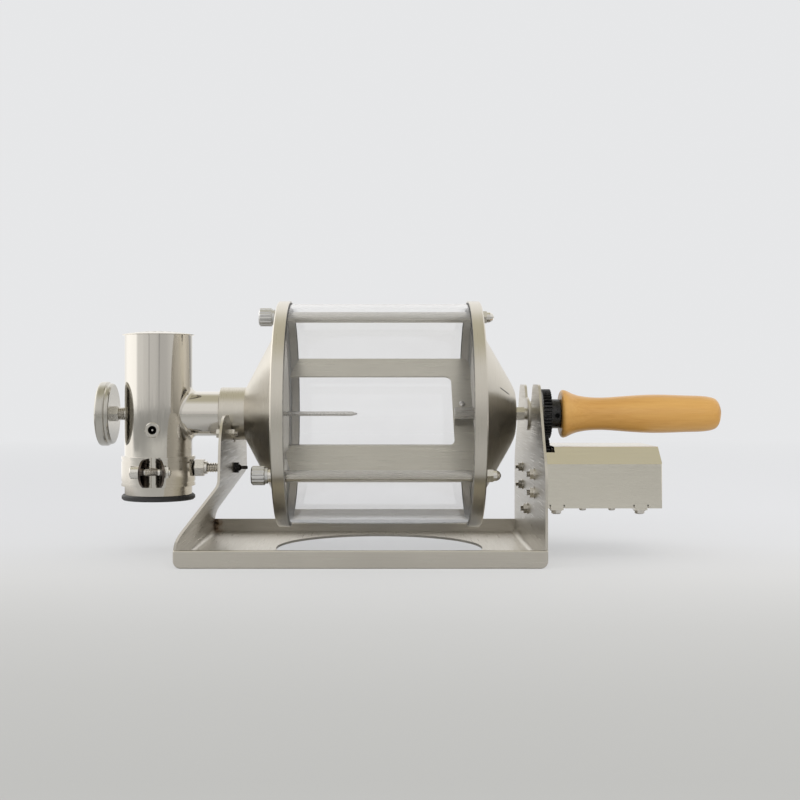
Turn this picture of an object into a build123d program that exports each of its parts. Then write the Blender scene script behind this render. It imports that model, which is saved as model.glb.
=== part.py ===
from build123d import *
import os
from math import cos, pi, radians, sin, sqrt

# Stovetop coffee bean roaster: a glass drum on a folded stand, driven by a gear motor, with a
# chaff collector and a dial thermometer on its left.
# X runs along the drum axis, from the dial to the handle. Y points away from the viewer, and Z
# points up from the underside of the stand. The origin is under the middle of the whole object.

os.makedirs("parts", exist_ok=True)

X = (1, 0, 0)
Y = (0, 1, 0)
Z = (0, 0, 1)

# Drum axis, shared by the drum, the branch tube, the thermometer and the handle
axis_height = 116.0
on_axis = (0, 0, axis_height)

# Stand: one folded sheet with a rail welded to each long edge
sheet = 2.0
stand_left = -184.5
stand_right = 102.9
arm_inner_face = stand_right - sheet
sheet_half_depth = 108.0
rail_height = 14.0
rail_thickness = 2.0
rail_foot_radius = 1.2
tray_corner_radius = 6.0
flame_hole_radius = 88.0
left_arm_x = -151.5
left_arm_top = 116.0
lean_bottom = 20.0
lean_top = 62.6
left_arm_half_width = 94.0
left_arm_half_top = 84.0
left_shoulder_radius = 32.0
neck_notch_radius = 24.5
neck_mouth_half_width = 38.0
right_arm_top = 141.0
shaft_mouth_half_width = 29.0

# Rollers that carry the neck of the drum
roller_radius = 6.5
roller_width = 5.0
roller_gap = 0.2
roller_drop = 15.9
roller_left = -159.4
roller_bolt_radius = 2.0
running_gap = 0.06

# Drum
drum_radius = 96.0
cap_wall = 2.0
left_rim = (-112.0, -101.9)
right_rim = (48.4, 58.5)
rim_bevel = 1.0
neck_radius = 22.5
neck_bore = 21.0
neck_left = -162.0
neck_right = -140.3
left_cone_radius = 75.0
right_cone_radius = 73.0
glass_radius = 93.6
glass_wall = 3.0
gasket_thickness = 1.2
rod_circle = 82.4
rod_radius = 4.65
rod_thread_radius = 3.0
rod_angles = (86.0, -35.5, -155.0)
thumb_nut_radius = 7.7
thumb_nut_length = 13.2
thumb_nut_step = 2.2
collar_length = 3.6
collar_radius = 5.5
acorn_flats = 10.0

# Agitator: a U of sheet in a sloping plane behind the shaft
agitator_tilt = 45.0
agitator_sheet = 1.5
agitator_left = -105.0
agitator_right = 54.0
agitator_window_right = 36.7
upper_blade = (51.0, 74.0)
lower_blade = (32.0, 64.0)
agitator_screw_at = (45.0, 16.3)

# Shaft, bearing, gears and handle
shaft_flats = 10.0
shaft_left = 37.7
journal_radius = 5.0
stub_radius = 4.0
stub_right = 186.0
bearing_radius = 11.0
bearing_flange_radius = 14.0
gear_module = 1.0
driven_teeth = 40
pinion_teeth = 36
gear_left = 111.7
gear_right = 118.9
hub_radius = 12.5
hub_right = 127.5
pinion_left = 110.7
pinion_right = 117.4
motor_axis_height = axis_height - gear_module * (driven_teeth + pinion_teeth) / 2
handle_left = 127.8
handle_right = 265.0
handle_bore = 6.0

# Motor and its cover
cover_left = stand_right
cover_right = 204.2
cover_half_depth = 49.0
cover_bottom = 40.0
cover_top = 89.5
bevel_rise = 13.5
bevel_run = 16.0
cover_wall = 1.5
pinion_window_right = 118.1
pinion_window_bottom = 85.0
tab_width = 10.4
tab_relief = 1.0
tab_groove = (0.8, 0.5)
tab_centres = (118.5, 186.8)
tab_depth = 11.0
base_screw_xs = (141.8, 165.9)
base_screw_y = 33.0
gearbox_drop = 7.5
gearbox_radius = 16.5
gearbox_screw_y = 13.0
motor_radius = 16.0
bracket_top = 86.0
bracket_left = 122.4
gearbox_left = 124.4
gearbox_right = 146.0
motor_right = 180.0
large_mount_bolts = ((-39.0, 67.2), (-39.0, 52.1), (5.0, 34.6))
small_mount_bolts = ((43.0, 67.7), (43.0, 52.2))

# Collector
collector_x = -215.6
tube_radius = 28.5
tube_wall = 1.5
tube_bottom = 55.0
tube_top = 183.0
branch_radius = 19.0
branch_right = -157.0
branch_fillet = 5.0
lid_radius = 30.5
lid_rise = 3.5
clamp_radius = 31.2
clamp_top = 80.0
clamp_gap = 3.0
clamp_slot_x = -215.0
lug_root_y = -28.9
lug_tip_y = -47.0
lug_tips = (-222.1, -203.8)
lug_wall = 1.8
clamp_bolt_head_left = -231.9
clamp_bolt_end = -198.5
clamp_bolt_at = (-38.0, 68.5)
brace_height = 70.0
stud_tip_radius = 2.8
lock_nut_length = 3.6
cup_ring_radius = 31.0
cup_ring_bottom = 43.0
jack_height = 103.0
jack_radius = 6.35

# Thermometer
dial_left = -265.0
dial_back = -253.5
dial_radius = 27.4
probe_radius = 2.0
probe_tip = -45.4


def keep(piece, name):
    """Labels a finished piece and writes it under its node name."""
    piece.part.label = name
    export_step(piece.part, f"parts/{name}.step")


def turn(outline, base, direction, mode=Mode.ADD):
    """Revolves corners given as (distance along the axis from base, radius), as on a lathe."""
    normal = X if direction[1] else (0, -1, 0)
    with BuildSketch(Plane(base, x_dir=direction, z_dir=normal)) as half:
        with BuildLine():
            Polyline(outline, close=True)
        make_face()
    revolve(half.sketch, axis=Axis(base, direction), mode=mode)


def tube_outline(start, end, inner, outer):
    """Corners of a plain ring or tube between two distances along its axis."""
    return [(start, inner), (start, outer), (end, outer), (end, inner)]


def thread_outline(start, end, radius, pitch=1.0, depth=0.35):
    """Corners of a threaded rod, drawn as a row of ridges."""
    ridges = round((end - start) / pitch)
    pitch = (end - start) / ridges
    corners = [(start, 0)]
    for ridge in range(ridges):
        corners.append((start + ridge * pitch, radius - depth))
        corners.append((start + (ridge + 0.5) * pitch, radius))
    corners.append((end, radius - depth))
    corners.append((end, 0))
    return corners


def prisms_along_x(across_flats, start, length, points):
    """Adds a hexagonal prism along X at each (y, z) point."""
    with BuildSketch(Plane.YZ.offset(start)) as flats:
        with Locations(*points):
            RegularPolygon(across_flats / 2, 6, major_radius=False)
    extrude(flats.sketch, amount=length)


def holes_along_x(radius, start, length, points):
    """Cuts a round hole along X at each (y, z) point."""
    with BuildSketch(Plane.YZ.offset(start)) as rounds:
        with Locations(*points):
            Circle(radius)
    extrude(rounds.sketch, amount=length, mode=Mode.SUBTRACT)


def holes_along_z(radius, start, length, points):
    """Cuts a round hole along Z at each (x, y) point."""
    with BuildSketch(Plane.XY.offset(start)) as rounds:
        with Locations(*points):
            Circle(radius)
    extrude(rounds.sketch, amount=length, mode=Mode.SUBTRACT)


def around_drum(angle):
    """Place of a tie rod in (y, z), at an angle from the viewer's side towards the top."""
    return (-rod_circle * cos(radians(angle)), axis_height + rod_circle * sin(radians(angle)))


def gear_outline(teeth, first_tooth_angle):
    """Corners of a spur gear's teeth, each a narrowing trapezoid with some backlash."""
    pitch_radius = gear_module * teeth / 2
    flank = (
        (pitch_radius - 1.25 * gear_module, 0.98 * gear_module),
        (pitch_radius, 0.70 * gear_module),
        (pitch_radius + gear_module, 0.36 * gear_module),
    )
    corners = []
    for tooth in range(teeth):
        middle = radians(first_tooth_angle) + tooth * 2 * pi / teeth
        for radius, half_width in flank:
            angle = middle - half_width / radius
            corners.append((radius * cos(angle), radius * sin(angle)))
        for radius, half_width in reversed(flank):
            angle = middle + half_width / radius
            corners.append((radius * cos(angle), radius * sin(angle)))
    return corners


# ---------------------------------------------------------------- stand

roller_points = [
    (side * sqrt((neck_radius + roller_radius + roller_gap) ** 2 - roller_drop**2),
     axis_height - roller_drop)
    for side in (-1, 1)
]

with BuildSketch(Plane.YZ) as left_arm_outline:
    with BuildLine():
        Polyline(
            (sheet_half_depth, lean_bottom),
            (left_arm_half_width, lean_top),
            (left_arm_half_top, left_arm_top),
            (-left_arm_half_top, left_arm_top),
            (-left_arm_half_width, lean_top),
            (-sheet_half_depth, lean_bottom),
            close=True,
        )
    make_face()
    fillet(left_arm_outline.vertices().group_by(Axis.Y)[-1], radius=left_shoulder_radius)
    with Locations((0, axis_height)):
        Circle(neck_notch_radius, mode=Mode.SUBTRACT)
    with BuildLine():
        Polyline(
            (neck_mouth_half_width, left_arm_top + 1),
            (neck_mouth_half_width, left_arm_top),
            (neck_notch_radius * cos(radians(20)), axis_height - neck_notch_radius * sin(radians(20))),
            (-neck_notch_radius * cos(radians(20)), axis_height - neck_notch_radius * sin(radians(20))),
            (-neck_mouth_half_width, left_arm_top),
            (-neck_mouth_half_width, left_arm_top + 1),
            close=True,
        )
    make_face(mode=Mode.SUBTRACT)

with BuildSketch(Plane.YZ) as right_arm_outline:
    with BuildLine():
        Polyline(
            (sheet_half_depth, lean_bottom),
            (sheet_half_depth, 74),
            (92, 97),
            (79, 118),
            (64, right_arm_top),
            (-64, right_arm_top),
            (-79, 118),
            (-92, 97),
            (-sheet_half_depth, 74),
            (-sheet_half_depth, lean_bottom),
            close=True,
        )
    make_face()
    fillet(right_arm_outline.vertices().filter_by_position(Axis.Y, 70, 80), radius=32)
    with Locations((0, axis_height)):
        Circle(bearing_radius + running_gap, mode=Mode.SUBTRACT)
    with BuildLine():
        Polyline(
            (-bearing_radius - running_gap, axis_height),
            (bearing_radius + running_gap, axis_height),
            (shaft_mouth_half_width, right_arm_top),
            (-shaft_mouth_half_width, right_arm_top),
            close=True,
        )
    make_face(mode=Mode.SUBTRACT)
    fillet(right_arm_outline.vertices().group_by(Axis.Y)[-1], radius=9)

with BuildPart() as stand:
    with BuildSketch(Plane.XZ):
        with BuildLine():
            FilletPolyline(
                (left_arm_x, left_arm_top),
                (left_arm_x, lean_top),
                (stand_left + sheet / 2, lean_bottom),
                (stand_left + sheet / 2, sheet / 2),
                (stand_right - sheet / 2, sheet / 2),
                (stand_right - sheet / 2, right_arm_top),
                radius=[12, 25, 5, 5],
            )
        trace(line_width=sheet)
    extrude(amount=sheet_half_depth, both=True)
    for outline, start in ((left_arm_outline, stand_left - 5), (right_arm_outline, stand_right - 55)):
        with BuildSketch(Plane.YZ.offset(start)):
            with Locations((0, lean_bottom + 75)):
                Rectangle(2 * sheet_half_depth + 40, 150)
            add(outline.sketch_local, mode=Mode.SUBTRACT)
        extrude(amount=60, mode=Mode.SUBTRACT)
    with BuildSketch(Plane.XY):
        with Locations(((left_rim[0] + right_rim[1]) / 2, 0)):
            Circle(flame_hole_radius)
    extrude(amount=2 * sheet, both=True, mode=Mode.SUBTRACT)
    holes_along_x(roller_bolt_radius, left_arm_x - sheet, 2 * sheet, roller_points)
    holes_along_x(roller_bolt_radius * 2, left_arm_x - sheet, 2 * sheet, [(0, brace_height)])
    holes_along_x(2.5, stand_right - 2 * sheet, 3 * sheet, large_mount_bolts)
    holes_along_x(2.0, stand_right - 2 * sheet, 3 * sheet, small_mount_bolts)
keep(stand, "stand")

for name, start, outer_side in (("front_rail", sheet_half_depth, 0),
                                ("back_rail", -sheet_half_depth - rail_thickness, -1)):
    with BuildPart() as rail:
        with BuildSketch(Plane.XZ.offset(start)) as rail_face:
            with Locations(((stand_left + stand_right) / 2, rail_height / 2)):
                Rectangle(stand_right - stand_left, rail_height)
            fillet(rail_face.vertices().group_by(Axis.Y)[0], radius=tray_corner_radius)
            fillet(rail_face.vertices().group_by(Axis.Y)[-1], radius=1)
        extrude(amount=rail_thickness)
        foot_edges = rail.edges().filter_by(Axis.X).group_by(Axis.Z)[0]
        fillet(foot_edges.sort_by(Axis.Y)[outer_side], radius=rail_foot_radius)
    keep(rail, name)

# ---------------------------------------------------------------- neck rollers

roller_right = roller_left + roller_width
arm_left_face = left_arm_x - sheet / 2
arm_right_face = left_arm_x + sheet / 2

with BuildPart() as roller_bolts:
    prisms_along_x(7.0, roller_left - 3.1, 2.8, roller_points)
    for y, z in roller_points:
        turn([(roller_left - 0.3, 0), (roller_left - 0.3, roller_bolt_radius),
              (arm_right_face + 3.2, roller_bolt_radius), (arm_right_face + 3.2, 0)], (0, y, z), X)
        turn(thread_outline(arm_right_face + 3.2, arm_right_face + 5.9, roller_bolt_radius, 0.7, 0.3),
             (0, y, z), X)
keep(roller_bolts, "roller_bolts")

with BuildPart() as roller_spacers:
    for y, z in roller_points:
        turn(tube_outline(roller_right + 0.3, arm_left_face, roller_bolt_radius, 4.0), (0, y, z), X)
keep(roller_spacers, "roller_spacers")

with BuildPart() as roller_nuts:
    prisms_along_x(7.0, arm_right_face, 3.2, roller_points)
    holes_along_x(roller_bolt_radius, arm_right_face, 3.2, roller_points)
keep(roller_nuts, "roller_nuts")

for name, (y, z) in zip(("front_roller", "back_roller"), roller_points):
    with BuildPart() as roller:
        turn([(roller_left, roller_bolt_radius + running_gap), (roller_left, 5.9),
              (roller_left + 0.5, roller_radius), (roller_right - 0.5, roller_radius),
              (roller_right, 5.9), (roller_right, roller_bolt_radius + running_gap)], (0, y, z), X)
    keep(roller, name)

# ---------------------------------------------------------------- drum

rod_points = [around_drum(angle) for angle in rod_angles]

with BuildPart() as left_cap:
    turn(
        [
            (left_rim[1], drum_radius), (left_rim[0] + rim_bevel, drum_radius),
            (left_rim[0], drum_radius - rim_bevel), (left_rim[0], left_cone_radius),
            (neck_right, neck_radius), (neck_right, neck_bore), (neck_right + 1.2, neck_bore),
            (left_rim[0] + cap_wall, left_cone_radius - 0.5),
            (left_rim[0] + cap_wall, drum_radius - cap_wall), (left_rim[1], drum_radius - cap_wall),
        ],
        on_axis, X)
    holes_along_x(rod_thread_radius, left_rim[0], cap_wall, rod_points)
keep(left_cap, "left_cap")

with BuildPart() as neck_collar:
    turn(tube_outline(neck_left, neck_right, neck_bore, neck_radius), on_axis, X)
    chamfer(neck_collar.edges().filter_by(GeomType.CIRCLE).group_by(Axis.X)[0].sort_by(SortBy.RADIUS)[-1],
            length=0.6)
keep(neck_collar, "neck_collar")

with BuildPart() as right_cap:
    turn(
        [
            (right_rim[0], drum_radius), (right_rim[1] - rim_bevel, drum_radius),
            (right_rim[1], drum_radius - rim_bevel), (right_rim[1], right_cone_radius),
            (84.5, 28.5), (87.0, 23.5), (88.5, 19.5), (89.0, 16.5), (89.0, 5.8), (87.0, 5.8),
            (87.0, 16.0), (85.2, 22.0), (82.6, 27.5),
            (right_rim[1] - cap_wall, right_cone_radius - 0.5),
            (right_rim[1] - cap_wall, drum_radius - cap_wall), (right_rim[0], drum_radius - cap_wall),
        ],
        on_axis, X)
    holes_along_x(rod_thread_radius, right_rim[1] - cap_wall, cap_wall, rod_points)
keep(right_cap, "right_cap")

glass_left = left_rim[0] + cap_wall + gasket_thickness
glass_right = right_rim[1] - cap_wall - gasket_thickness

with BuildPart() as glass_tube:
    turn(tube_outline(glass_left, glass_right, glass_radius - glass_wall, glass_radius), on_axis, X)
keep(glass_tube, "glass_tube")

with BuildPart() as glass_gaskets:
    for start in (left_rim[0] + cap_wall, glass_right):
        turn(tube_outline(start, start + gasket_thickness, glass_radius - 5.4, glass_radius), on_axis, X)
keep(glass_gaskets, "glass_gaskets")

with BuildPart() as tie_rods:
    for y, z in rod_points:
        turn(
            [
                (left_rim[0] - 12, 0), (left_rim[0] - 12, rod_thread_radius),
                (left_rim[0] + cap_wall, rod_thread_radius), (left_rim[0] + cap_wall, rod_radius),
                (right_rim[1] - cap_wall, rod_radius), (right_rim[1] - cap_wall, rod_thread_radius),
                (right_rim[1] + 7, rod_thread_radius), (right_rim[1] + 7, 0),
            ],
            (0, y, z), X)
keep(tie_rods, "tie_rods")

thumb_nut_right = left_rim[0] - collar_length
thumb_nut_left = thumb_nut_right - thumb_nut_length
step_left = thumb_nut_right - thumb_nut_step

with BuildPart() as rod_collars:
    for y, z in rod_points:
        turn(tube_outline(thumb_nut_right, left_rim[0], rod_thread_radius, collar_radius), (0, y, z), X)
keep(rod_collars, "rod_collars")

with BuildPart() as thumb_nuts:
    for y, z in rod_points:
        turn(
            [
                (thumb_nut_left, 0), (thumb_nut_left, thumb_nut_radius - 1.2),
                (thumb_nut_left + 1.2, thumb_nut_radius), (step_left - 0.7, thumb_nut_radius),
                (step_left, thumb_nut_radius - 0.6), (step_left, collar_radius + 1.0),
                (thumb_nut_right, collar_radius + 1.0),
                (thumb_nut_right, rod_thread_radius), (thumb_nut_right - 9.0, rod_thread_radius),
                (thumb_nut_right - 9.0, 0),
            ],
            (0, y, z), X)
        with BuildSketch(Plane((thumb_nut_left, y, z), x_dir=Y, z_dir=X)):
            with PolarLocations(thumb_nut_radius + 1.1, 14):
                Circle(1.6)
        extrude(amount=thumb_nut_length - thumb_nut_step, mode=Mode.SUBTRACT)
keep(thumb_nuts, "thumb_nuts")

with BuildPart() as acorn_nuts:
    prisms_along_x(acorn_flats, right_rim[1], 6.0, rod_points)
    for y, z in rod_points:
        turn([(right_rim[1] + 6.0, 0), (right_rim[1] + 6.0, 4.7), (right_rim[1] + 9.0, 4.3),
              (right_rim[1] + 11.2, 3.0), (right_rim[1] + 12.3, 1.0), (right_rim[1] + 12.3, 0)],
             (0, y, z), X)
    holes_along_x(rod_thread_radius, right_rim[1], 7.0, rod_points)
keep(acorn_nuts, "acorn_nuts")

# ---------------------------------------------------------------- shaft and agitator

with BuildPart() as hex_shaft:
    with BuildSketch(Plane.YZ.offset(shaft_left)):
        with Locations((0, axis_height)):
            RegularPolygon(shaft_flats / 2, 6, major_radius=False, rotation=agitator_tilt)
    extrude(amount=97.0 - shaft_left)
    turn(
        [
            (97.0, 0), (97.0, journal_radius), (109.5, journal_radius), (109.5, 7.0), (gear_left, 7.0),
            (gear_left, stub_radius), (stub_right - 4.0, stub_radius), (stub_right - 4.0, 3.0),
            (stub_right - 2.5, 3.0), (stub_right - 2.5, stub_radius), (stub_right, stub_radius),
            (stub_right, 0),
        ],
        on_axis, X)
keep(hex_shaft, "hex_shaft")

# The sloping plane faces the viewer and up; its local y points up and away from the viewer.
slope_normal = (0, -sin(radians(agitator_tilt)), cos(radians(agitator_tilt)))
slope = Plane(on_axis, x_dir=X, z_dir=slope_normal)
behind_shaft = -shaft_flats / 2 - agitator_sheet

with BuildPart() as agitator:
    with BuildSketch(slope.offset(behind_shaft)) as agitator_face:
        with BuildLine():
            Polyline(
                (agitator_left, upper_blade[0] + 5), (agitator_left + 6, upper_blade[1]),
                (agitator_right, upper_blade[1]), (agitator_right, -lower_blade[1]),
                (agitator_left + 6, -lower_blade[1]), (agitator_left, -lower_blade[0] - 8),
                (agitator_left + 5, -lower_blade[0]), (agitator_window_right, -lower_blade[0]),
                (agitator_window_right, upper_blade[0]), (agitator_left - 1, upper_blade[0]),
                close=True,
            )
        make_face()
        fillet(agitator_face.vertices().filter_by_position(
            Axis.X, agitator_window_right - 0.1, agitator_window_right + 0.1), radius=6)
        fillet(agitator_face.vertices().group_by(Axis.X)[-1], radius=8)
        with Locations(agitator_screw_at):
            Circle(1.5, mode=Mode.SUBTRACT)
    extrude(amount=agitator_sheet)
keep(agitator, "agitator")

with BuildPart() as agitator_screw:
    screw_centre = slope.from_local_coords((*agitator_screw_at, 0))
    turn([(behind_shaft - 4.5, 0), (behind_shaft - 4.5, 1.5), (-shaft_flats / 2, 1.5),
          (-shaft_flats / 2, 3.0), (-shaft_flats / 2 + 1.2, 2.9), (-shaft_flats / 2 + 2.0, 2.0),
          (-shaft_flats / 2 + 2.2, 0)], tuple(screw_centre), slope_normal)
    with BuildSketch(slope.offset(-shaft_flats / 2 + 1.2)):
        with Locations(agitator_screw_at):
            Rectangle(3.4, 0.7, rotation=20)
            Rectangle(0.7, 3.4, rotation=20)
    extrude(amount=2.0, mode=Mode.SUBTRACT)
keep(agitator_screw, "agitator_screw")

with BuildPart() as agitator_nut:
    with BuildSketch(slope.offset(behind_shaft - 2.4)):
        with Locations(agitator_screw_at):
            RegularPolygon(2.75, 6, major_radius=False)
            Circle(1.5, mode=Mode.SUBTRACT)
    extrude(amount=2.4)
keep(agitator_nut, "agitator_nut")

with BuildPart() as shaft_bearing:
    turn(
        [
            (99.0, journal_radius + running_gap), (99.0, bearing_flange_radius - 0.5),
            (99.4, bearing_flange_radius), (arm_inner_face, bearing_flange_radius),
            (arm_inner_face, bearing_radius),
            (109.0, bearing_radius), (109.0, journal_radius + running_gap),
        ],
        on_axis, X)
keep(shaft_bearing, "shaft_bearing")

with BuildPart() as driven_gear:
    with BuildSketch(Plane((gear_left, 0, axis_height), x_dir=Y, z_dir=X)):
        with BuildLine():
            Polyline(gear_outline(driven_teeth, -90), close=True)
        make_face()
    extrude(amount=gear_right - gear_left)
    turn([(gear_right, 0), (gear_right, hub_radius), (hub_right - 0.5, hub_radius),
          (hub_right, hub_radius - 0.5), (hub_right, 0)], on_axis, X)
    holes_along_x(stub_radius, gear_left, hub_right - gear_left, [(0, axis_height)])
    turn([(-hub_radius - 1, 0), (-hub_radius - 1, 2.0), (-stub_radius, 2.0), (-stub_radius, 0)],
         (124.0, 0, axis_height - 1.4), Y, mode=Mode.SUBTRACT)
keep(driven_gear, "driven_gear")

with BuildPart() as gear_set_screw:
    turn([(-9.5, 0), (-9.5, 1.9), (-stub_radius - 0.3, 1.9), (-stub_radius - 0.3, 0)],
         (124.0, 0, axis_height - 1.4), Y)
keep(gear_set_screw, "gear_set_screw")

with BuildPart() as shaft_clip:
    turn(tube_outline(stub_right - 4.0, stub_right - 2.5, 3.0, 5.4), on_axis, X)
keep(shaft_clip, "shaft_clip")

with BuildPart() as handle_grip:
    with BuildSketch(Plane(on_axis, x_dir=X, z_dir=(0, -1, 0))):
        with BuildLine():
            Line((handle_left, 0), (handle_left, 17.9))
            Spline((handle_left, 17.9), (129.4, 20.2), (136.2, 18.2), (144.4, 15.4), (158.4, 13.9),
                   (183.5, 15.2), (212.1, 16.4), (238.5, 15.6), (255.5, 14.4), (260.8, 12.4),
                   (263.8, 7.5), (handle_right, 2.5))
            Line((handle_right, 2.5), (handle_right, 0))
            Line((handle_right, 0), (handle_left, 0))
        make_face()
    revolve(axis=Axis(on_axis, X))
    holes_along_x(handle_bore, handle_left, 60.0, [(0, axis_height)])
keep(handle_grip, "handle_grip")

with BuildPart() as handle_bush:
    turn(tube_outline(handle_left + 0.6, stub_right - 6.0, stub_radius + running_gap, handle_bore), on_axis, X)
keep(handle_bush, "handle_bush")

# ---------------------------------------------------------------- motor drive

with BuildPart() as pinion:
    with BuildSketch(Plane((pinion_left, 0, motor_axis_height), x_dir=Y, z_dir=X)):
        with BuildLine():
            Polyline(gear_outline(pinion_teeth, 90 + 180 / pinion_teeth), close=True)
        make_face()
        Circle(3.0, mode=Mode.SUBTRACT)
    extrude(amount=pinion_right - pinion_left)
keep(pinion, "pinion")

with BuildPart() as motor_shaft:
    turn([(pinion_left - 1, 0), (pinion_left - 1, 2.6), (pinion_left - 0.6, 3.0), (gearbox_left, 3.0),
          (gearbox_left, 0)], (0, 0, motor_axis_height), X)
keep(motor_shaft, "motor_shaft")

gearbox_height = motor_axis_height - gearbox_drop
bracket_screw_points = [(-gearbox_screw_y, gearbox_height), (gearbox_screw_y, gearbox_height)]
base_top = cover_bottom + cover_wall
foot_thickness = 2.0

with BuildPart() as gearbox:
    turn([(gearbox_left, 0), (gearbox_left, gearbox_radius), (gearbox_right, gearbox_radius),
          (gearbox_right, 0)], (0, 0, gearbox_height), X)
    holes_along_x(1.5, gearbox_left, 5.0, bracket_screw_points)
keep(gearbox, "gearbox")

with BuildPart() as motor_can:
    turn([(gearbox_right, 0), (gearbox_right, motor_radius), (motor_right - 1.5, motor_radius),
          (motor_right, motor_radius - 1.5), (motor_right, 5.0), (motor_right + 3, 5.0),
          (motor_right + 3, 0)], (0, 0, gearbox_height), X)
keep(motor_can, "motor_can")

base_screw_points = [(x, side * base_screw_y) for x in base_screw_xs for side in (-1, 1)]
tab_screw_points = [(x, side * (cover_half_depth - 6)) for x in tab_centres for side in (-1, 1)]

with BuildPart() as motor_bracket:
    with BuildSketch(Plane.YZ.offset(bracket_left)) as bracket_face:
        with Locations((0, (base_top + bracket_top) / 2)):
            Rectangle(40, bracket_top - base_top)
        fillet(bracket_face.vertices().group_by(Axis.Y)[-1], radius=10)
        with Locations((0, motor_axis_height)):
            Circle(4.5, mode=Mode.SUBTRACT)
    extrude(amount=gearbox_left - bracket_left)
    with BuildSketch(Plane.XY.offset(base_top)):
        with Locations(((bracket_left + 172) / 2, 0)):
            Rectangle(172 - bracket_left, 2 * base_screw_y + 10)
    extrude(amount=foot_thickness)
    holes_along_x(1.5, bracket_left, gearbox_left - bracket_left, bracket_screw_points)
    holes_along_z(1.5, base_top, foot_thickness, base_screw_points)
keep(motor_bracket, "motor_bracket")

with BuildPart() as bracket_screws:
    for y, z in bracket_screw_points:
        turn([(bracket_left - 2.0, 0), (bracket_left - 2.0, 2.0), (bracket_left - 1.2, 2.7),
              (bracket_left, 2.7), (bracket_left, 1.5), (gearbox_left + 4.5, 1.5),
              (gearbox_left + 4.5, 0)], (0, y, z), X)
keep(bracket_screws, "bracket_screws")

with BuildPart() as motor_base:
    with BuildSketch(Plane.XY.offset(cover_bottom)):
        with Locations(((cover_left + cover_right - cover_wall) / 2, 0)):
            Rectangle(cover_right - cover_wall - cover_left, 2 * (cover_half_depth - cover_wall))
    extrude(amount=cover_wall)
    with BuildSketch(Plane.YZ.offset(cover_left)) as flange_face:
        with Locations((0, 57)):
            Rectangle(2 * (cover_half_depth - cover_wall), 34)
        with Locations((5, 35)):
            Rectangle(30, 14)
        with Locations((0, motor_axis_height)):
            Circle(21, mode=Mode.SUBTRACT)
    extrude(amount=cover_wall)
    holes_along_x(2.5, cover_left, cover_wall, large_mount_bolts)
    holes_along_x(2.0, cover_left, cover_wall, small_mount_bolts)
    holes_along_z(1.5, cover_bottom, cover_wall, base_screw_points + tab_screw_points)
keep(motor_base, "motor_base")

hood_half_top = cover_half_depth - bevel_run
hood_shoulder = cover_top - bevel_rise
bevel_length = sqrt(bevel_run**2 + bevel_rise**2)
with BuildPart() as motor_cover:
    with BuildSketch(Plane.YZ.offset(cover_left)):
        with BuildLine():
            Polyline(
                (-cover_half_depth, cover_bottom), (-cover_half_depth, hood_shoulder),
                (-hood_half_top, cover_top), (hood_half_top, cover_top),
                (cover_half_depth, hood_shoulder), (cover_half_depth, cover_bottom),
                close=True,
            )
        make_face()
    extrude(amount=cover_right - cover_left)
    fillet(motor_cover.edges().filter_by(Axis.X).group_by(Axis.Z)[-1], radius=1.4)
    fillet(motor_cover.edges().filter_by(Axis.Z).group_by(Axis.X)[-1], radius=1.4)
    inner_half = cover_half_depth - cover_wall
    inner_shoulder = hood_shoulder - cover_wall * (bevel_length - bevel_rise) / bevel_run
    inner_half_top = hood_half_top - cover_wall * (bevel_length - bevel_run) / bevel_rise
    with BuildSketch(Plane.YZ.offset(cover_left)):
        with BuildLine():
            Polyline(
                (-inner_half, cover_bottom), (-inner_half, inner_shoulder),
                (-inner_half_top, cover_top - cover_wall), (inner_half_top, cover_top - cover_wall),
                (inner_half, inner_shoulder), (inner_half, cover_bottom),
                close=True,
            )
        make_face()
    extrude(amount=cover_right - cover_wall - cover_left, mode=Mode.SUBTRACT)
    with BuildSketch(Plane.XZ):
        with Locations(((cover_left + pinion_window_right) / 2, pinion_window_bottom + 10)):
            Rectangle(pinion_window_right - cover_left, 20)
    extrude(amount=cover_half_depth, both=True, mode=Mode.SUBTRACT)
    for side in (-1, 1):
        with BuildSketch(Plane.XY.offset(cover_bottom - cover_wall)):
            with Locations(*((x, side * (cover_half_depth - tab_depth / 2)) for x in tab_centres)):
                Rectangle(tab_width, tab_depth)
        extrude(amount=cover_wall)
        relief_centres = [x + end * (tab_width + tab_relief) / 2 for x in tab_centres for end in (-1, 1)]
        with BuildSketch(Plane.XY.offset(cover_bottom)):
            with Locations(*((x, side * (cover_half_depth - cover_wall / 2)) for x in relief_centres)):
                Rectangle(tab_relief, cover_wall + 0.2)
        extrude(amount=3.0, mode=Mode.SUBTRACT)
        with BuildSketch(Plane.XY.offset(cover_bottom)):
            with Locations(*((x, side * (cover_half_depth - tab_groove[1] / 2)) for x in tab_centres)):
                Rectangle(tab_width, tab_groove[1])
        extrude(amount=tab_groove[0], mode=Mode.SUBTRACT)
    holes_along_z(1.5, cover_bottom - cover_wall, cover_wall, tab_screw_points)
    holes_along_x(5.0, cover_right - cover_wall, cover_wall, [(28, 60)])
keep(motor_cover, "motor_cover")

with BuildPart() as cover_screws:
    for x, y in tab_screw_points:
        turn([(35.0, 0), (35.0, 3.0), (35.8, 4.0), (37.7, 4.0), (37.7, 5.0), (38.5, 5.0), (38.5, 1.5),
              (44.5, 1.5), (44.5, 0)], (x, y, 0), Z)
keep(cover_screws, "cover_screws")

with BuildPart() as base_screws:
    for x, y in base_screw_points:
        turn([(36.9, 0), (36.9, 2.2), (37.6, 2.9), (cover_bottom, 2.9), (cover_bottom, 1.5),
              (47.0, 1.5), (47.0, 0)], (x, y, 0), Z)
keep(base_screws, "base_screws")

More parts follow.
